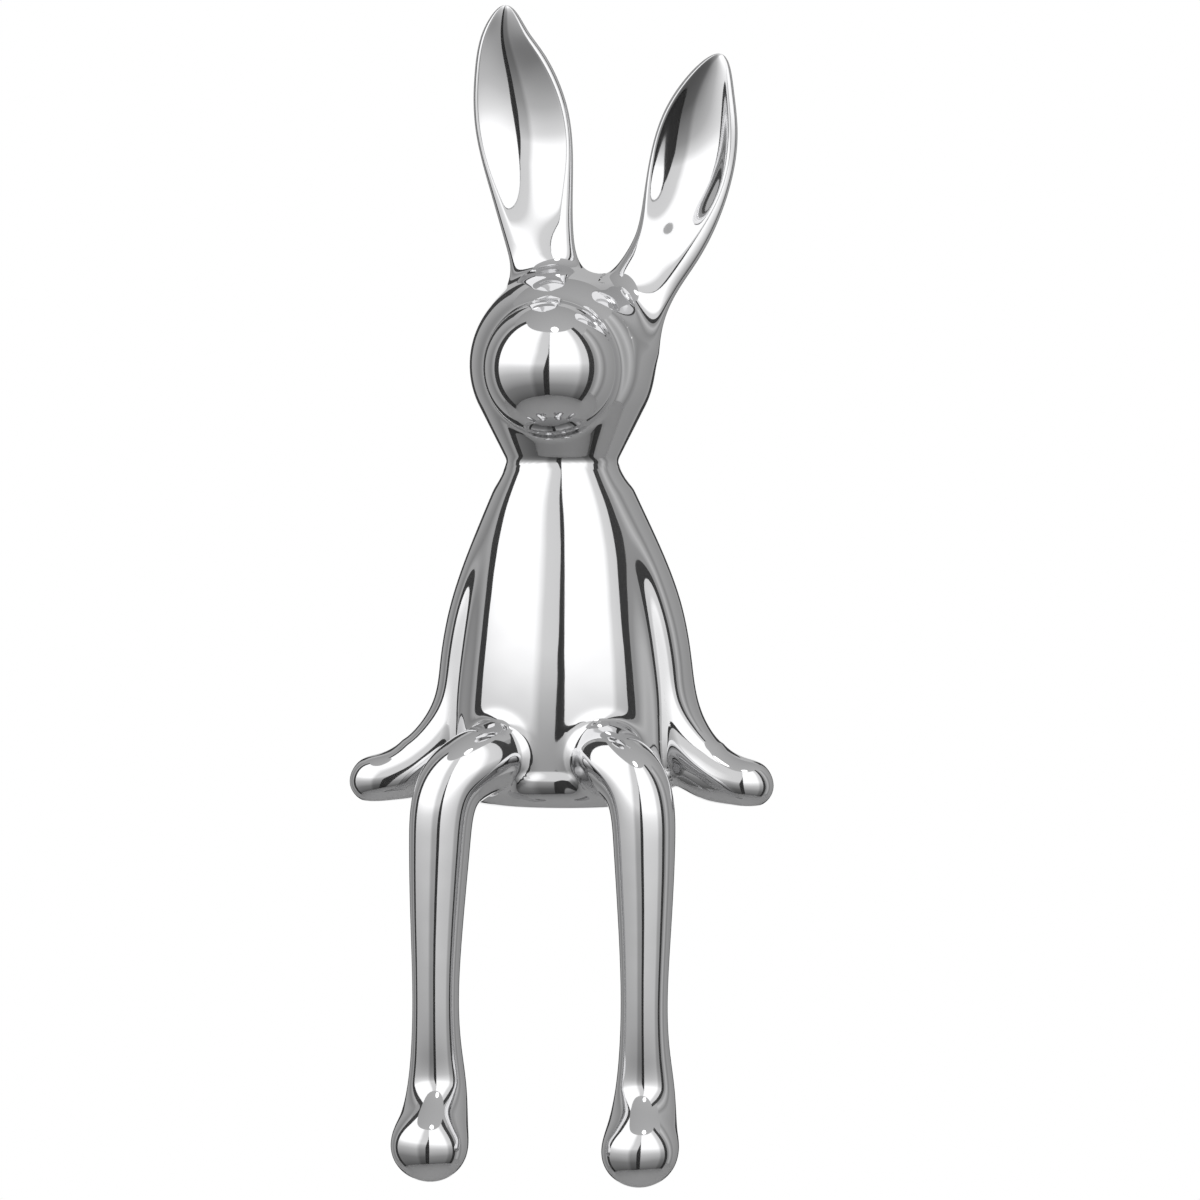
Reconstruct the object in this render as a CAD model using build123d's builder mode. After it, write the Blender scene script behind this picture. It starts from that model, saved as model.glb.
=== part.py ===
from build123d import *
from math import cos, radians, sin, sqrt
from numpy import interp
import os

# Rabbit ornament that sits on the edge of a shelf with its legs hanging down.
# Millimetres, +Z up, the rabbit faces -Y, and the seat's underside is at Z = 0.
# Left and right are the rabbit's own, so its left side is at +X.

# Cast walls and the kiln vent under the seat
wall = 4.0
vent_diameter = 8.0

# Seat, the base of the body, rolled under to the shelf, with a land left between its two roundings
seat_width = 48.0
seat_depth = 43.0
seat_thickness = 8.4
seat_lip = 2.0
seat_land = 0.4

# Body, a bell of ovals from the seat to the neck, with the shoulders so far below the neck
belly_height = 20.0
belly_width = 45.0
belly_depth = 39.0
chest_height = 44.0
chest_width = 39.6
chest_depth = 34.0
shoulder_drop = 10.5
shoulder_width = 32.4
shoulder_depth = 28.6
neck_height = 73.5
neck_diameter = 24.6

# Head, a ball above the neck and drawn in to it, with a round muzzle that stands proud of the ball
skull_rise = 22.0
skull_radius = 20.4
jaw_drop = 9.0
jaw_flare = 40.0
muzzle_drop = 1.0
muzzle_radius = 14.5
muzzle_proud = 9.1
muzzle_blend = 4.0

# Ears, scooped leaves: where they leave the skull, their widest place and their tips, from its centre
ear_thickness = 7.0
ear_rim = 0.6
ear_hollow = 4.6
ear_sink = 9.0
ear_flare = 3.0
right_ear_root = (-4.6, 5.0, 21.5)
right_ear_middle = (-10.2, 6.2, 54.0)
right_ear_tip = (-13.4, 2.0, 78.6)
right_ear_neck = 15.4
right_ear_width = 22.0
right_ear_turn = 0.0
left_ear_root = (18.2, 3.6, 17.0)
left_ear_middle = (27.0, 6.2, 43.5)
left_ear_tip = (34.8, 2.0, 67.3)
left_ear_neck = 14.6
left_ear_width = 22.0
left_ear_turn = 18.0

# Arms, from inside the shoulder, so far below the neck, to the finger tips, and the way their width runs
arm_drop = 7.9
arm_shoulder = (10.2, 3.6, neck_height - arm_drop)
arm_elbow = (22.0, 4.0, 42.0)
arm_wrist = (27.2, 2.2, 18.6)
arm_palm = (31.2, -0.8, 8.8)
arm_knuckles = (39.0, -2.4, 5.4)
arm_finger_tip = (46.6, -4.0, 3.6)
arm_root_width = 9.0
arm_width = 13.0
arm_thickness = 6.6
wrist_thickness = 8.0
palm_thickness = 15.0
arm_side = (0.25, 1, 0)
hand_width = 12.5
hand_thickness = 12.0

# Legs, from inside the hip to the toes, and the way their width runs
leg_hip = (7.5, -7.0, 12.0)
leg_thigh = (12.6, -17.0, 11.0)
leg_knee = (20.0, -24.6, 5.4)
leg_calf = (22.0, -26.8, -6.0)
leg_shin = (22.4, -28.8, -28.0)
leg_ankle = (22.4, -29.0, -50.0)
leg_heel = (22.4, -28.4, -59.0)
leg_instep = (22.4, -32.0, -66.0)
leg_ball = (22.5, -36.6, -70.2)
leg_toe = (22.6, -42.6, -74.4)
thigh_thickness = 15.2
knee_thickness = 14.0
shin_thickness = 10.8
ankle_thickness = 10.6
heel_thickness = 13.0
instep_thickness = 15.0
foot_width = 16.6
foot_thickness = 15.0
leg_side = (1, -0.3, 0)

# Tail, a ball whose centre stands off the back
tail_height = 13.0
tail_offset = 1.5
tail_radius = 7.0

# Sections along a form, and how its tip closes: share of the way to the tip, share of the size left
form_steps = 10
leaf_steps = 7
round_tip = [(sin(radians(angle)), cos(radians(angle))) for angle in (30, 60)]
leaf_tip = [(step / leaf_steps, 1 - (step / leaf_steps) ** 2) for step in range(1, leaf_steps)]

# Places that follow from the sizes
seat_roll = seat_thickness - seat_land - seat_lip
skull_centre = Vector(0, 0, neck_height + skull_rise)
muzzle_centre = skull_centre - Vector(0, skull_radius + muzzle_proud - muzzle_radius, muzzle_drop)
tail_centre = Vector(0, belly_depth / 2 + tail_offset, tail_height)


def oval(place, across, direction, width, thickness):
    """One section square to direction: an ellipse of four quarter arcs."""
    with BuildSketch(Plane(origin=place, x_dir=across, z_dir=direction)) as section:
        with BuildLine():
            for quarter in range(4):
                EllipticalCenterArc((0, 0), width / 2, thickness / 2, quarter * 90, arc_size=90)
        make_face()
    return section.sketch


def form(stations, across, tip=None, tip_shape=()):
    """Ovals along a smooth line through the stations, lofted, and closed at a tip if there is one.

    A station is a point of the line, the oval's width along across, and its thickness.
    """
    points = [Vector(*point) for point, _, _ in stations]
    if tip:
        points.append(Vector(*tip))
    spans = [(after - before).length for before, after in zip(points, points[1:])]
    marks = [sum(spans[:number]) / sum(spans) for number in range(len(points))]
    last = marks[len(stations) - 1]
    line = Spline(*points)
    sections = []
    for step in range(form_steps + 1):
        share = last * step / form_steps
        width = interp(share, marks[: len(stations)], [station[1] for station in stations])
        thickness = interp(share, marks[: len(stations)], [station[2] for station in stations])
        sections.append(oval(line @ share, across, line % share, width, thickness))
    for along, size in tip_shape:
        share = last + (1 - last) * along
        sections.append(oval(line @ share, across, line % share, width * size, thickness * size))
    if tip:
        sections.append(Vertex(*tip))
    with BuildPart() as lofted:
        loft(sections)
    return lofted.part


def leaf(start, middle, end, across, width, thickness):
    """Ovals along a smooth line that is widest at the middle and pointed at both ends, lofted."""
    line = Spline(start, middle, end)
    sections = [Vertex(*start)]
    for step in range(1 - leaf_steps, leaf_steps):
        from_middle = step / leaf_steps
        share = (1 + from_middle) / 2
        size = 1 - from_middle**2
        sections.append(oval(line @ share, across, line % share, width * size, thickness * size))
    sections.append(Vertex(*end))
    with BuildPart() as lofted:
        loft(sections)
    return lofted.part


def bell(inset, foot_height):
    """The body's ovals from foot_height to the neck, drawn in by inset all round."""
    ovals = (
        (foot_height, belly_width, belly_depth),
        (belly_height, belly_width, belly_depth),
        (chest_height, chest_width, chest_depth),
        (neck_height - shoulder_drop, shoulder_width, shoulder_depth),
        (neck_height, neck_diameter, neck_diameter),
    )
    stations = [((0, 0, height), width - 2 * inset, depth - 2 * inset) for height, width, depth in ovals]
    return form(stations, (1, 0, 0))


def skull(inset):
    """The ball of the head with its jaw drawn in to the neck, turned about Z and smaller by inset."""
    radius = skull_radius - inset
    jaw = sqrt(radius**2 - jaw_drop**2)
    neck = neck_diameter / 2 - inset
    jaw_height = skull_centre.Z - jaw_drop
    top_height = skull_centre.Z + radius
    with BuildPart() as turned:
        with BuildSketch(Plane.XZ):
            with BuildLine():
                Line((0, neck_height), (neck, neck_height))
                Spline(
                    (neck, neck_height),
                    (jaw, jaw_height),
                    tangents=[(sin(radians(jaw_flare)), cos(radians(jaw_flare))), (jaw_drop, jaw)],
                )
                RadiusArc((jaw, jaw_height), (0, top_height), -radius)
                Line((0, top_height), (0, neck_height))
            make_face()
        revolve(axis=Axis.Z)
    return turned.part


# Outer shapes of body and head, which the luted pieces are cut to
with BuildPart() as body_outside:
    with BuildSketch(Plane.XY):
        Ellipse(seat_width / 2, seat_depth / 2)
    extrude(amount=seat_thickness)
    fillet(edges().filter_by(GeomType.LINE, reverse=True).group_by(Axis.Z)[0], seat_roll)
    fillet(edges().filter_by(GeomType.LINE, reverse=True).group_by(Axis.Z)[-1], seat_lip)
    add(bell(0, seat_thickness - seat_lip))

with BuildPart() as head_outside:
    add(skull(0))
    with Locations(muzzle_centre):
        Sphere(muzzle_radius)
    fillet(faces().sort_by(Axis.Y)[0].edges(), muzzle_blend)

# Torso: hollow casting, open at the neck, with the vent through the seat
with BuildPart() as torso:
    add(body_outside.part)
    add(bell(wall, wall), mode=Mode.SUBTRACT)
    with BuildSketch(Plane.XY):
        Circle(vent_diameter / 2)
    extrude(amount=wall, mode=Mode.SUBTRACT)

# Head: hollow casting that stands on the torso's rim
with BuildPart() as head:
    add(head_outside.part)
    add(skull(wall), mode=Mode.SUBTRACT)
    with Locations(muzzle_centre):
        Sphere(muzzle_radius - wall, mode=Mode.SUBTRACT)


def ear(root, middle, tip, neck, width, turn):
    """A leaf that stands on the skull, scooped out in front, and turned inwards by turn degrees."""
    across = Vector(1, 0, 0).rotate(Axis.Z, -turn)
    front = Vector(0, -1, 0).rotate(Axis.Z, -turn) * (ear_thickness / 2)
    root = Vector(*root)
    sunk = skull_centre + root.normalized() * (root.length - ear_sink)
    root, middle, tip = skull_centre + root, skull_centre + Vector(*middle), skull_centre + Vector(*tip)
    outside = form(
        [
            (sunk, neck + ear_flare, ear_thickness + ear_flare),
            (root, neck, ear_thickness),
            (middle, width, ear_thickness),
        ],
        across,
        tip,
        leaf_tip,
    )
    hollow = leaf(
        root + front,
        middle + front,
        tip + front,
        across,
        width - 2 * ear_rim,
        2 * ear_hollow,
    )
    with BuildPart() as scooped:
        add(outside)
        add(hollow, mode=Mode.SUBTRACT)
        add(head_outside.part, mode=Mode.SUBTRACT)
    return scooped.part


with BuildPart() as right_ear:
    add(ear(right_ear_root, right_ear_middle, right_ear_tip, right_ear_neck, right_ear_width, right_ear_turn))

with BuildPart() as left_ear:
    add(ear(left_ear_root, left_ear_middle, left_ear_tip, left_ear_neck, left_ear_width, left_ear_turn))

# Arms: cut to the body's side, with the palms flat on the shelf
arm_form = form(
    [
        (arm_shoulder, arm_root_width, arm_thickness),
        (arm_elbow, arm_width, arm_thickness),
        (arm_wrist, arm_width, wrist_thickness),
        (arm_palm, hand_width, palm_thickness),
        (arm_knuckles, hand_width, hand_thickness),
    ],
    arm_side,
    arm_finger_tip,
    round_tip,
)
with BuildPart() as left_arm:
    add(arm_form)
    split(bisect_by=Plane.XY, keep=Keep.TOP)
    add(body_outside.part, mode=Mode.SUBTRACT)

with BuildPart() as right_arm:
    mirror(left_arm.part, about=Plane.YZ)

# Legs: cut to the body's front
leg_form = form(
    [
        (leg_hip, thigh_thickness, thigh_thickness),
        (leg_thigh, thigh_thickness, thigh_thickness),
        (leg_knee, knee_thickness, knee_thickness),
        (leg_calf, knee_thickness, knee_thickness),
        (leg_shin, shin_thickness, shin_thickness),
        (leg_ankle, ankle_thickness, ankle_thickness),
        (leg_heel, heel_thickness, heel_thickness),
        (leg_instep, instep_thickness, instep_thickness),
        (leg_ball, foot_width, foot_thickness),
    ],
    leg_side,
    leg_toe,
    round_tip,
)
with BuildPart() as left_leg:
    add(leg_form)
    add(body_outside.part, mode=Mode.SUBTRACT)

with BuildPart() as right_leg:
    mirror(left_leg.part, about=Plane.YZ)

# Tail: cut to the body's back
with BuildPart() as tail:
    with Locations(tail_centre):
        Sphere(tail_radius)
    add(body_outside.part, mode=Mode.SUBTRACT)

pieces = {
    "torso": torso,
    "head": head,
    "left_ear": left_ear,
    "right_ear": right_ear,
    "left_arm": left_arm,
    "right_arm": right_arm,
    "left_leg": left_leg,
    "right_leg": right_leg,
    "tail": tail,
}
os.makedirs("parts", exist_ok=True)
for name, piece in pieces.items():
    piece.part.label = name
    export_step(piece.part, f"parts/{name}.step")
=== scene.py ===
from math import cos, radians, sin

import bpy
import numpy as np
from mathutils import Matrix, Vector


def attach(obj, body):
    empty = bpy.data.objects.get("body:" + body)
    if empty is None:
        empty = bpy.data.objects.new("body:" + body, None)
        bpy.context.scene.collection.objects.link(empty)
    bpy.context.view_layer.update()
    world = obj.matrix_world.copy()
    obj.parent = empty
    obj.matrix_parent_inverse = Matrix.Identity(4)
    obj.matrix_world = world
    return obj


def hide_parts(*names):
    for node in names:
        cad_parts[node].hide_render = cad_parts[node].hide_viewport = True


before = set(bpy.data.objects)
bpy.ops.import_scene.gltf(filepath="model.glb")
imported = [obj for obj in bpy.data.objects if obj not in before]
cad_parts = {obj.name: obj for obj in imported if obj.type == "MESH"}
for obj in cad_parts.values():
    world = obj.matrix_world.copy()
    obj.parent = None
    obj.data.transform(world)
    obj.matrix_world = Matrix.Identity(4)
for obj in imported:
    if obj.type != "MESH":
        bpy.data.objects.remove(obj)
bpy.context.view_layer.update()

# Torso. A hollow bell of glazed stoneware, slip-cast with its rolled seat in a plaster mould and wiped
# flat underneath, where the kiln vent is. The other pieces are luted to it with slip before firing.
# Sizes in this file are millimetres: Z is up from the shelf, the rabbit faces -Y and its left is at +X.
MM = 0.001
bell_heights = np.array([0, 20, 44, 63, 73.5, 84])
bell_halves = [(22.9, 19.9), (22.5, 19.5), (19.8, 17.0), (16.2, 14.3), (12.4, 12.4), (8.0, 8.0)]
seat_flat = np.array([18.0, 15.5])
seat_thickness = 8.4
seat_roll = 6.0
seat_proud = 0.5
vent_radius = 4.0
vent_depth = 12.0
free_level = 0.3


def unit(v):
    """Each row divided by its length."""
    return v / np.maximum(np.linalg.norm(v, axis=-1, keepdims=True), 1e-9)


def spline(knots, stations):
    """A natural cubic through the stations: each span blends its two ends, plus second derivatives that
    let slope and curvature run on. The function returned gives values and slopes anywhere along it."""
    y = np.asarray(stations, float)
    h = np.diff(knots)
    last = len(y) - 1
    inner = np.arange(1, last)
    system = np.eye(last + 1)
    system[inner, inner - 1] = h[:-1]
    system[inner, inner] = 2 * (h[:-1] + h[1:])
    system[inner, inner + 1] = h[1:]
    turn = np.zeros_like(y)
    turn[1:-1] = 6 * np.diff(np.diff(y, axis=0) / h[:, None], axis=0)
    bend = np.linalg.solve(system, turn)

    def at(u):
        i = np.clip(np.searchsorted(knots, u) - 1, 0, last - 1)
        step = h[i][:, None]
        b = (u - knots[i])[:, None] / step
        a = 1 - b
        curve = (a**3 - a) * bend[i] + (b**3 - b) * bend[i + 1]
        turning = (3 * b**2 - 1) * bend[i + 1] - (3 * a**2 - 1) * bend[i]
        value = a * y[i] + b * y[i + 1] + curve * step**2 / 6
        slope = (y[i + 1] - y[i]) / step + turning * step / 6
        return value, slope

    return at


def meld(a, b, reach):
    """The smaller of two distances, rounded off by a cubic where they differ by less than reach."""
    share = np.maximum(reach - np.abs(a - b), 0) / reach
    return np.minimum(a, b) - share**3 * reach / 6


def oval(across, half):
    """Distance from an oval: how far out a point is, as a share, over how fast that share grows."""
    share = np.linalg.norm(across / half, axis=1)
    return share * (share - 1) / np.maximum(np.linalg.norm(across / half**2, axis=1), 1e-9)


bell = spline(bell_heights, bell_halves)


def girth(z):
    """Half-width and half-depth at height z: the bell's spline, with the edge of the seat standing a
    little proud of it behind a soft step and rolling under to the shelf in a quarter round."""
    half, _ = bell(np.clip(z, 0, bell_heights[-1]))
    step = np.clip((seat_thickness - z) / (seat_thickness - seat_roll), 0, 1)
    under = np.clip(1 - z / seat_roll, 0, 1)
    edge = half + seat_proud * (0.5 - 0.5 * np.cos(np.pi * step))[:, None]
    return seat_flat + (edge - seat_flat) * np.sqrt(1 - under**2)[:, None]


def torso_form(p):
    """Distance from the torso: from its oval at the point's height, and from its flat ends."""
    ends = np.maximum(-p[:, 2], p[:, 2] - bell_heights[-1])
    return np.maximum(oval(p[:, :2], girth(p[:, 2])), ends)


def linear(hex_colour):
    """An sRGB hex colour as the linear values that a shader takes."""
    share = np.array([int(hex_colour[i:i + 2], 16) for i in (1, 3, 5)]) / 255
    return (*np.where(share <= 0.04045, share / 12.92, ((share + 0.055) / 1.055) ** 2.4), 1)


def node(tree, kind, settings, links=()):
    """Adds a node, sets its sockets or properties by name, and links its inputs to other nodes' outputs."""
    made = tree.nodes.new(kind)
    for name, value in settings.items():
        if isinstance(name, str) and name not in made.inputs:
            setattr(made, name, value)
        else:
            made.inputs[name].default_value = value
    for name, source, output in links:
        tree.links.new(source.outputs[output], made.inputs[name])
    return made


# Silver plating on glazed stoneware: a mirror, so the eye gets hard reflections of the studio, which swim
# a little because the glaze under the metal is wavy, with a faint haze that comes and goes.
plating = bpy.data.materials.new("silver_plating_on_glazed_stoneware")
plating.use_nodes = True
plating.node_tree.nodes.clear()
tree = plating.node_tree
wave_length = 11 * MM
wave_height = 0.08 * MM
cloud_size = 14 * MM
place = node(tree, "ShaderNodeTexCoord", {})
place_link = [("Vector", place, "Object")]
swim = node(tree, "ShaderNodeTexNoise", {"Scale": 1 / wave_length, "Detail": 1.0}, place_link)
wave = node(tree, "ShaderNodeBump", {"Distance": wave_height}, [("Height", swim, "Fac")])
cloud = node(tree, "ShaderNodeTexNoise", {"Scale": 1 / cloud_size, "Detail": 3.0}, place_link)
haze = node(tree, "ShaderNodeMapRange", {"To Min": 0.02, "To Max": 0.07}, [("Value", cloud, "Fac")])
mirror = node(
    tree, "ShaderNodeBsdfPrincipled", {"Base Color": linear("#E4E4E5"), "Metallic": 1.0},
    [("Roughness", haze, "Result"), ("Normal", wave, "Normal")],
)
node(tree, "ShaderNodeOutputMaterial", {}, [("Surface", mirror, "BSDF")])

castings = {}


def skin_points(grid):
    """The points of a closed skin over rows of points: the first and last rows shrink to poles."""
    return np.vstack([grid[0].mean(0), grid[1:-1].reshape(-1, 3), grid[-1].mean(0)]) * MM


def casting(name, grid, rays, form, dent=0):
    """One piece as cast, a closed skin of quads between rows of points with a fan at each pole. Its rows,
    the rays that they were drawn along, its form and its hollows are kept for the seams."""
    rows, columns, _ = grid.shape
    points = skin_points(grid)
    ring = np.arange(columns)
    after = np.roll(ring, -1)
    first = 1 + columns * np.arange(rows - 3)[:, None]
    quads = np.stack([first + ring, first + after, first + columns + after, first + columns + ring], 2)
    quads = quads.reshape(-1, 4)
    end = 1 + columns * (rows - 3)
    fans = np.vstack([
        np.stack([0 * ring, 1 + after, 1 + ring], 1),
        np.stack([0 * ring + len(points) - 1, end + ring, end + after], 1),
    ])
    corners = points[quads]
    if (corners[:, 0] * np.cross(corners[:, 1], corners[:, 2])).sum() < 0:
        quads, fans = quads[:, ::-1], fans[:, ::-1]
    mesh = bpy.data.meshes.new(f"{name}_casting")
    mesh.from_pydata(points, [], fans.tolist() + quads.tolist())
    mesh.shade_smooth()
    mesh.materials.append(plating)
    piece = bpy.data.objects.new(f"{name}_casting", mesh)
    bpy.context.scene.collection.objects.link(piece)
    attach(piece, "root")
    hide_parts(name)
    castings[name] = piece, grid, rays, form, dent + 0 * grid


# The torso's rows run from inside the head down the bell, round the seat's edge, in to the vent and up it.
around = np.linspace(0, 2 * np.pi, 320, endpoint=False)
step = np.linspace(seat_thickness, seat_roll + 0.1, 26)
roll = seat_roll * (1 - np.sin(np.linspace(0, 1.55, 56)))
heights = np.r_[np.linspace(bell_heights[-1], seat_thickness + 0.1, 190), step, roll]
under = vent_radius + np.linspace(1, 0, 30)[:, None] * (seat_flat - vent_radius)
bore = np.full((16, 2), vent_radius)
halves = np.vstack([[[0.01, 0.01]], girth(heights), under, bore, [[0.01, 0.01]]])
levels = np.r_[heights[0], heights, 0 * under[:, 0], np.linspace(0.05, vent_depth, len(bore)), vent_depth]
circle = np.stack([np.cos(around), np.sin(around), 0 * around], 1)
grid = np.c_[halves, 0 * levels][:, None] * circle + np.array([0, 0, 1]) * levels[:, None, None]
free = (levels > free_level)[:, None, None] & (halves[:, :1, None] > vent_radius)
rays = np.where(free, unit(grid * [1, 1, 0]), 0)
casting("torso", grid, rays, torso_form)

# Head. A hollow ball cast in two halves, drawn in to the neck below, with the round blank muzzle cast on.
# It stands on the torso's rim, and the seam is wiped to a narrow crease.
skull = np.array([0, 0, 95.5])
skull_radius = 20.3
jaw_slope = radians(27)
muzzle = np.array([0, -15.0, 94.5])
muzzle_radius = 14.5
muzzle_reach = 2.0
head_middle = np.array([0, -4.0, 94.0])


def head_form(p):
    """Distance from the head: a ball and the cone that touches it and narrows to the neck, melded with
    the ball of the muzzle."""
    out, up = np.linalg.norm(p[:, :2], axis=1), p[:, 2] - skull[2]
    on_cone = out * sin(jaw_slope) + up * cos(jaw_slope) < 0
    from_cone = out * cos(jaw_slope) - up * sin(jaw_slope)
    from_skull = np.where(on_cone, from_cone, np.hypot(out, up)) - skull_radius
    return meld(from_skull, np.linalg.norm(p - muzzle, axis=1) - muzzle_radius, muzzle_reach)


def globe(rows, columns, lowest=np.pi):
    """Unit rays from a centre, in rows from straight up to the lowest angle."""
    tilt = np.linspace(0, lowest, rows)[:, None]
    turn = np.linspace(0, 2 * np.pi, columns, endpoint=False) + 0 * tilt
    tilt = tilt + 0 * turn
    return np.stack([np.cos(turn) * np.sin(tilt), np.sin(turn) * np.sin(tilt), np.cos(tilt)], 2)


rays = globe(230, 330, 3.05)
reached = np.full(rays.shape[0] * rays.shape[1], 16.0)
for _ in range(40):
    reached -= head_form(head_middle + rays.reshape(-1, 3) * reached[:, None])
casting("head", head_middle + rays * reached.reshape(*rays.shape[:2], 1), rays, head_form)

# Ears. Solid leaves pressed in a mould and luted to the skull, scooped in front behind a thin rim, the
# right one longer and upright. A station is x, y, z, half-width and half-thickness.
right_ear = [
    (-3.4, 3.4, 103, 9.2, 5.0),
    (-5.0, 5.0, 118, 7.3, 3.6),
    (-6.3, 5.6, 125, 7.8, 3.4),
    (-8.0, 6.2, 136, 9.4, 3.3),
    (-10.0, 6.0, 149.2, 10.5, 3.2),
    (-12.0, 4.8, 159.9, 8.6, 2.9),
    (-13.1, 3.5, 166.9, 5.8, 2.3),
    (-13.0, 2.6, 171.4, 3.3, 1.6),
    (-12.8, 2.0, 174.0, 0, 0),
]
left_ear = [
    (11.8, 2.4, 103.5, 9.4, 5.0),
    (18.9, 3.8, 115.5, 8.0, 3.6),
    (22.4, 4.6, 121.5, 8.4, 3.5),
    (25.8, 5.8, 131.4, 9.8, 3.3),
    (27.7, 6.2, 140.1, 10.2, 3.2),
    (29.7, 5.2, 148.5, 9.0, 2.9),
    (32.0, 3.7, 155.9, 6.0, 2.2),
    (33.9, 2.5, 160.7, 3.0, 1.4),
    (34.7, 2.0, 162.6, 0, 0),
]
left_ear_turn = 18
scoop_from = 0.2
scoop_full = 0.62
scoop_share = 1.5
scoop_rise = 0.6
rim_share = 0.9
rim_soft = 0.06
far = 12.0


def tube(stations, side):
    """A limb or leaf: a spline through the stations' centres and squared half-sizes, with an oval square
    to it whose width runs to the side. Gives its length, its sections and a point's distance from it."""
    rows = np.array(stations, float)
    low, high = rows[:, :3].min(0) - far, rows[:, :3].max(0) + far
    rows[:, 3:] **= 2
    knots = np.r_[0, np.cumsum(np.linalg.norm(np.diff(rows[:, :3], axis=0), axis=1))]
    line = spline(knots, rows)
    marks = np.linspace(0, knots[-1], 60)
    places = line(marks)[0][:, :3]

    def section(u):
        value, slope = line(u)
        ahead = unit(slope[:, :3])
        across = unit(side - (ahead @ side)[:, None] * ahead)
        return value[:, :3], across, np.cross(ahead, across), np.sqrt(np.maximum(value[:, 3:], 1e-4))

    def form(p):
        close = np.flatnonzero(((p > low) & (p < high)).all(1))
        distance = np.full(len(p), 2 * far)
        p = p[close]
        u = marks[np.argmin((places**2).sum(1) - 2 * p @ places.T, axis=1)]
        for _ in range(6):
            value, slope = line(u)
            slope = slope[:, :3]
            u = np.clip(u + ((p - value[:, :3]) * slope).sum(1) / (slope**2).sum(1), 0, knots[-1])
        centre, across, front, half = section(u)
        away = p - centre
        flat = np.stack([(away * across).sum(1), (away * front).sum(1)], 1)
        past = np.linalg.norm(away - across * flat[:, :1] - front * flat[:, 1:], axis=1)
        beside = oval(flat, half)
        at_end = (u <= 0) | (u >= knots[-1])
        distance[close] = np.where(at_end, np.hypot(np.maximum(beside, 0), past), beside)
        return distance

    return knots[-1], section, form


def tube_grid(length, section, rows, columns):
    """Rows of ovals along a tube, crowding towards its tip, with the rays, and each point's section."""
    along = length * (1 - (1 - np.linspace(0, 1, rows)) ** 1.6)
    centre, across, back, half = section(along)
    angle = np.linspace(0, 2 * np.pi, columns, endpoint=False)
    sideways = across[:, None] * (half[:, :1] * np.cos(angle))[..., None]
    out = sideways + back[:, None] * (half[:, 1:] * np.sin(angle))[..., None]
    return centre[:, None] + out, unit(out), along / length, angle, half, back


def ease(x):
    """Nought to one with a soft start and stop."""
    x = np.clip(x, 0, 1)
    return x**3 * (10 - 15 * x + 6 * x**2)


ear_forms = []
for name, stations, turn in (("right_ear", right_ear, 0), ("left_ear", left_ear, left_ear_turn)):
    length, section, form = tube(stations, np.array([cos(radians(turn)), -sin(radians(turn)), 0]))
    grid, rays, share, angle, half, back = tube_grid(length, section, 260, 200)
    # The scoop: over the front half the surface sinks by a parabola that is deepest in the middle of the
    # leaf, reaches nought at the rim, rises towards the tip and fades out towards the ear's neck.
    fade = ease((share - scoop_from) / (scoop_full - scoop_from))[:, None]
    fade = fade * (1 - scoop_rise * np.maximum((share - scoop_full) / (1 - scoop_full), 0)[:, None] ** 2)
    bowl = 1 - (np.cos(angle) / (rim_share * (0.75 + 0.25 * fade))) ** 2
    bowl = 0.5 * (bowl + np.sqrt(bowl**2 + rim_soft**2))
    depth = scoop_share * half[:, 1:] * fade * bowl * ease(-6 * np.sin(angle))
    casting(name, grid, rays, form, depth[..., None] * back[:, None])
    ear_forms.append(form)

# Arms. Solid straps of clay pressed in a mould, luted along the torso's sides, with mitten hands whose
# palms are wiped flat where they rest on the shelf. The right one mirrors the left.
arm = [
    (11.2, 2.4, 65.6, 4.5, 3.3),
    (17.9, 2.6, 53.5, 6.0, 3.3),
    (22.2, 2.6, 42.0, 6.5, 3.3),
    (24.2, 2.6, 30.0, 6.5, 3.5),
    (26.4, 1.8, 18.6, 6.5, 4.0),
    (31.2, -0.8, 8.4, 6.2, 6.6),
    (39.0, -2.4, 5.2, 6.2, 5.5),
    (43.6, -3.4, 4.2, 4.9, 4.8),
    (46.6, -4.0, 3.6, 0, 0),
]
palm_soft = 0.4


def both(form):
    """Distance from a limb and its mirror image."""
    return lambda p: form(np.stack([np.abs(p[:, 0]), p[:, 1], p[:, 2]], 1))


length, section, arm_form = tube(arm, np.array([0.25, 1.0, 0]))
arms_form = both(arm_form)
grid, rays = tube_grid(length, section, 250, 100)[:2]
lifted = 0.5 * (np.sqrt(grid[..., 2:] ** 2 + palm_soft**2) - grid[..., 2:])
for name, flip in (("left_arm", (1, 1, 1)), ("right_arm", (-1, 1, 1))):
    casting(name, grid * flip, rays * flip, lambda p, flip=flip: arm_form(p * flip), lifted * [0, 0, 1])

# Legs. Solid rolls like the arms, bent at the knee over the shelf's edge, with thin shins that hang
# straight and swell to drop-shaped feet. They are luted to the front of the seat.
leg = [
    (7.5, -7.0, 12.0, 7.6, 7.6),
    (12.6, -17.0, 11.0, 7.6, 7.6),
    (20.0, -24.6, 5.4, 7.1, 7.1),
    (22.0, -26.8, -6.0, 6.6, 6.6),
    (22.4, -28.8, -28.0, 5.4, 5.4),
    (22.4, -29.0, -50.0, 5.4, 5.4),
    (22.4, -28.4, -59.0, 6.4, 6.5),
    (22.4, -32.0, -66.0, 7.5, 7.5),
    (22.5, -36.6, -70.2, 8.2, 7.4),
    (22.55, -40.2, -72.8, 6.4, 5.8),
    (22.6, -42.6, -74.4, 0, 0),
]
length, section, leg_form = tube(leg, np.array([1.0, -0.3, 0]))
legs_form = both(leg_form)
grid, rays = tube_grid(length, section, 320, 112)[:2]
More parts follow.
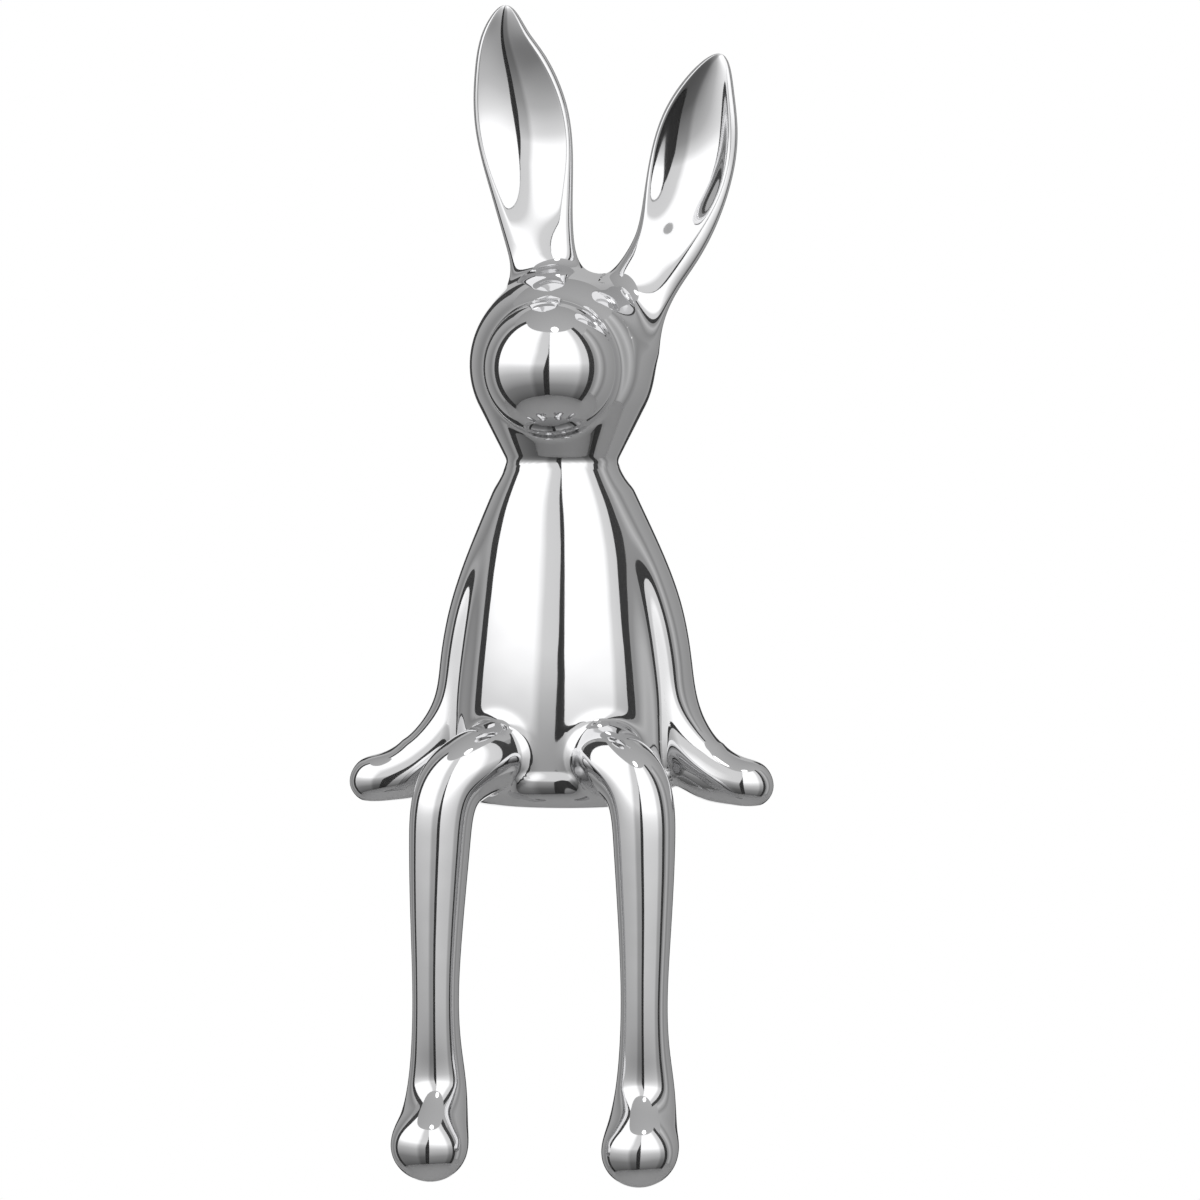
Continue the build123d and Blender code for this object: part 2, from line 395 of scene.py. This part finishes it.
for name, flip in (("left_leg", (1, 1, 1)), ("right_leg", (-1, 1, 1))):
    casting(name, grid * flip, rays * flip, lambda p, flip=flip: leg_form(p * flip))

# Tail. A small ball of clay luted low on the back.
tail = np.array([0, 21.0, 13.0])
tail_radius = 6.98


def tail_form(p):
    """Distance from the ball of the tail."""
    return np.linalg.norm(p - tail, axis=1) - tail_radius


rays = globe(70, 110)
casting("tail", tail + tail_radius * rays, rays, tail_form)

# Seams. The wet pieces are luted with slip, and each seam is wiped to a fillet, so the glaze and the
# plating run over it unbroken. Every casting is drawn out here to one skin that they all share.
arm_reach = 9.0
leg_reach = 4.0
tail_reach = 4.0
neck_reach = 1.2
ear_reach = 9.0
lap = 3.0
sunk = 0.05
deepest = 9.0
dented = 0.02
nudge = 0.02
neighbours = {
    "torso": [head_form, arms_form, legs_form, tail_form],
    "head": [torso_form, *ear_forms],
    "right_ear": [head_form],
    "left_ear": [head_form],
    "left_arm": [torso_form],
    "right_arm": [torso_form],
    "left_leg": [torso_form],
    "right_leg": [torso_form],
    "tail": [torso_form],
}


def skin(p):
    """Distance from the figurine's skin: the forms melded one after another."""
    distance = torso_form(p)
    for form, reach in ((arms_form, arm_reach), (legs_form, leg_reach), (tail_form, tail_reach)):
        distance = meld(distance, form(p), reach)
    distance = meld(distance, head_form(p), neck_reach)
    for form in ear_forms:
        distance = meld(distance, form(p), ear_reach)
    return distance


def luted(points, rays, form, others):
    """Points of a casting brought to the skin: near a neighbour each slides out along its ray by the
    skin's distance, over and over. Past the middle of a seam a point dips just under the neighbour's
    surface, and further on it stays as cast, inside the neighbour. The points that were brought to the
    skin also get its slope, so that the light runs over a seam as over one piece."""
    gap = np.min([other(points) for other in others], axis=0)
    near = np.flatnonzero((gap < ear_reach) & (gap > -deepest) & (np.abs(rays).sum(1) > 0))
    start, ray = points[near], rays[near]
    moved = start
    for _ in range(30):
        moved = moved - 0.9 * skin(moved)[:, None] * ray
    over = form(moved) - np.min([other(moved) for other in others], axis=0)
    lies = ((over < lap) & (np.linalg.norm(moved - start, axis=1) < deepest))[:, None]
    made, normals = points.copy(), np.zeros_like(points)
    made[near] = np.where(lies, moved - ray * (sunk * np.clip(over / lap, 0, 1))[:, None], start)
    slope = np.stack([skin(moved + step) - skin(moved - step) for step in nudge * np.eye(3)], 1)
    normals[near] = np.where(lies, unit(slope), 0)
    return made, normals


for name, (piece, grid, rays, form, dent) in castings.items():
    made, normals = luted(grid.reshape(-1, 3), rays.reshape(-1, 3), form, neighbours[name])
    normals = np.where(np.abs(dent).sum(-1, keepdims=True) < dented, normals.reshape(grid.shape), 0)
    piece.data.vertices.foreach_set("co", skin_points(made.reshape(grid.shape) + dent).ravel())
    piece.data.update()
    piece.data.normals_split_custom_set_from_vertices(skin_points(normals) / MM)

# Studio. A sheet of white paper hangs behind the figurine, over a pale floor and between grey walls. Two
# tall diffusers stand in front at either side, with a dark slit between them to the left of the camera.
scene = bpy.context.scene
scene.view_settings.view_transform = "Standard"
view_azimuth = 9
view_height = 2
view_distance = 0.9


def towards(azimuth, height=0):
    """Unit vector from the figurine, at an azimuth from the camera's and a height, in degrees."""
    turn, rise = np.radians(azimuth + view_azimuth), np.radians(height)
    return np.stack([np.sin(turn) * np.cos(rise), -np.cos(turn) * np.cos(rise), np.sin(rise) + 0 * turn], -1)


aim = towards(90) * 8.19 * MM + [0, 0, 44.3 * MM]
back = Vector(towards(0, view_height))
camera = bpy.data.objects.new("camera", bpy.data.cameras.new("camera"))
camera.data.lens = 123.7
camera.location = Vector(aim) + back * view_distance
camera.rotation_mode = "QUATERNION"
camera.rotation_quaternion = (-back).to_track_quat("-Z", "Y")
scene.collection.objects.link(camera)
scene.camera = camera

wall_grey = 0.42
world = bpy.data.worlds.new("grey_walls")
world.use_nodes = True
world.node_tree.nodes["Background"].inputs["Color"].default_value = (wall_grey, wall_grey, wall_grey, 1)
scene.world = world


def stage(name, grid, material, seen=True, glow=None):
    """A sheet of quads over rows of points, which isn't part of the object, with its glow at each."""
    rows, columns, _ = grid.shape
    at = np.arange(rows * columns).reshape(rows, columns)
    quads = np.stack([at[:-1, :-1], at[:-1, 1:], at[1:, 1:], at[1:, :-1]], 2).reshape(-1, 4)
    mesh = bpy.data.meshes.new(name)
    mesh.from_pydata(grid.reshape(-1, 3), [], quads.tolist())
    mesh.shade_smooth()
    mesh.materials.append(material)
    if glow is not None:
        mesh.attributes.new("glow", "FLOAT", "POINT").data.foreach_set("value", glow.ravel())
    made = bpy.data.objects.new(name, mesh)
    scene.collection.objects.link(made)
    made.visible_camera = seen


def new_material(name):
    """An empty material, and its node tree."""
    made = bpy.data.materials.new(name)
    made.use_nodes = True
    made.node_tree.nodes.clear()
    return made, made.node_tree


# Matt surfaces of the set: pale floor paint, and the dark felt of the flags.
floor_level = -1.1
floor_paint, tree = new_material("pale_floor_paint")
matt = node(tree, "ShaderNodeBsdfDiffuse", {"Color": linear("#DADADA")})
node(tree, "ShaderNodeOutputMaterial", {}, [("Surface", matt, 0)])
felt, tree = new_material("dark_felt")
matt = node(tree, "ShaderNodeBsdfDiffuse", {"Color": linear("#5C5C5C")})
node(tree, "ShaderNodeOutputMaterial", {}, [("Surface", matt, 0)])
reach = np.linspace(-6, 6, 9)
stage("floor", np.stack([*np.meshgrid(reach, reach), np.full((9, 9), floor_level)], 2), floor_paint)

# White paper: it reads as white to the eye and in the metal, and otherwise only scatters light.
paper, tree = new_material("white_paper")
seen = node(tree, "ShaderNodeLightPath", {})
looked_at = node(
    tree, "ShaderNodeMath", {"operation": "MAXIMUM"}, [(0, seen, "Is Camera Ray"), (1, seen, "Is Glossy Ray")]
)
looked_at = node(
    tree, "ShaderNodeMath", {"operation": "MAXIMUM"}, [(0, looked_at, 0), (1, seen, "Is Transmission Ray")]
)
white = node(tree, "ShaderNodeEmission", {"Color": (1, 1, 1, 1), "Strength": 1.0})
fibre = node(tree, "ShaderNodeBsdfDiffuse", {"Color": linear("#F0F0F0")})
whole = node(tree, "ShaderNodeMixShader", {}, [(0, looked_at, 0), (1, fibre, 0), (2, white, 0)])
node(tree, "ShaderNodeOutputMaterial", {}, [("Surface", whole, 0)])


def drum(levels, left, right, radius, columns=60, rows=120):
    """A stretch of a drum round the figurine: between a left and a right azimuth in degrees from the
    camera's, both given at some levels in metres and straight from each to the next."""
    level = np.linspace(levels[0], levels[-1], rows)
    start, end = np.interp(level, levels, left)[:, None], np.interp(level, levels, right)[:, None]
    azimuth = start + (end - start) * np.linspace(0, 1, columns)
    return towards(azimuth) * [radius, radius, 0] + level[:, None, None] * [0, 0, 1]


stage("paper", drum((floor_level, 0.45), (165, 165), (195, 195), 1.6), paper)

# Diffuser cloth: lit from above and behind, so it is bright at the height of a head and dims to its foot
# and towards one side. The same glowing material paints light onto the walls and ceiling below.
lamp_and_painted_room_glow, tree = new_material("lamp_and_painted_room_glow")
glow = node(tree, "ShaderNodeAttribute", {"attribute_name": "glow"})
lit = node(tree, "ShaderNodeEmission", {"Color": (1, 1, 1, 1)}, [("Strength", glow, "Fac")])
node(tree, "ShaderNodeOutputMaterial", {}, [("Surface", lit, 0)])
slit_levels = (floor_level, 0, 0.6, 2.1)
glow_levels = (floor_level, -0.5, -0.1, 0.1, 0.22)
glow_places = (0, 0.72, 0.82, 1)
left_strengths = (0.1, 0.22, 0.55, 0.9, 1.3)
right_strengths = (0.12, 0.3, 0.65, 1.0, 1.3)
for name, left, right, strengths, shares in (
    ("left_diffuser", (-98, -98, -98, -98), (-13, -12, -3.5, -3), left_strengths, (1, 1, 0.62, 0.6)),
    ("right_diffuser", (-2, -2, -2, -2), (68, 68, 68, 68), right_strengths, (1, 1, 0.65, 0.6)),
):
    sheet = drum(slit_levels, left, right, 1.1)
    glow = np.interp(sheet[..., 2], glow_levels, strengths)
    glow = glow * np.interp(np.linspace(0, 1, sheet.shape[1]), glow_places, shares)
    stage(name, sheet, lamp_and_painted_room_glow, seen=False, glow=glow)

# A small round lamp hangs high in front and leaves a bright spot on each crown.
lamp_azimuth, lamp_height, lamp_distance, lamp_radius = 14, 68, 1.4, 0.12
turn, out = np.meshgrid(np.linspace(0, 2 * np.pi, 33), np.linspace(0, lamp_radius, 5))
facing = towards(np.array(lamp_azimuth), lamp_height)
sideways = towards(np.array(lamp_azimuth + 90))
upwards = np.cross(facing, sideways)
disc = sideways * (np.cos(turn) * out)[..., None] + upwards * (np.sin(turn) * out)[..., None]
stage("lamp", facing * lamp_distance + disc, lamp_and_painted_room_glow, seen=False, glow=np.full(turn.shape, 2.5))

for name, left, right, high, radius in (
    ("middle_flag", -15, -1, 0.8, 1.14),
    ("left_flag", -110, -97, 2.1, 1.12),
    ("right_flag", 67, 79, 2.1, 1.12),
    ("back_left_flag", 150, 165, 1.2, 1.6),
    ("back_right_flag", 195, 210, 1.2, 1.6),
):
    stage(name, drum((floor_level, high), (left, left), (right, right), radius), felt, seen=False)

# The walls behind and the ceiling are no lamps but glow with painted light, uneven and lighter where they
# face a lamp.
wall_places = (68, 84, 92, 104, 112, 140, 165, 195, 222, 238, 246, 264)
wall_glows = (0.3, 0.36, 0.6, 0.3, 0.42, 0.36, 0.5, 0.5, 0.4, 0.28, 0.46, 0.4)
wall_start, wall_end = wall_places[0], wall_places[-1]
ceiling_level = 2.1
walls = drum((floor_level, ceiling_level), (wall_start, wall_start), (wall_end, wall_end), 1.9, columns=200)
across = np.interp(np.linspace(wall_start, wall_end, 200), wall_places, wall_glows)
upwards = np.linspace(0.8, 1.15, 120)[:, None]
stage("walls", walls, lamp_and_painted_room_glow, seen=False, glow=across * upwards)
span = np.linspace(-2.5, 2.5, 30)
lengthways, sideways = np.meshgrid(span, span, indexing="ij")
ceiling = towards(180) * lengthways[..., None] + towards(90) * sideways[..., None] + [0, 0, ceiling_level]
stage("ceiling", ceiling, lamp_and_painted_room_glow, seen=False, glow=0.47 - 0.05 * lengthways + 0.02 * sideways)
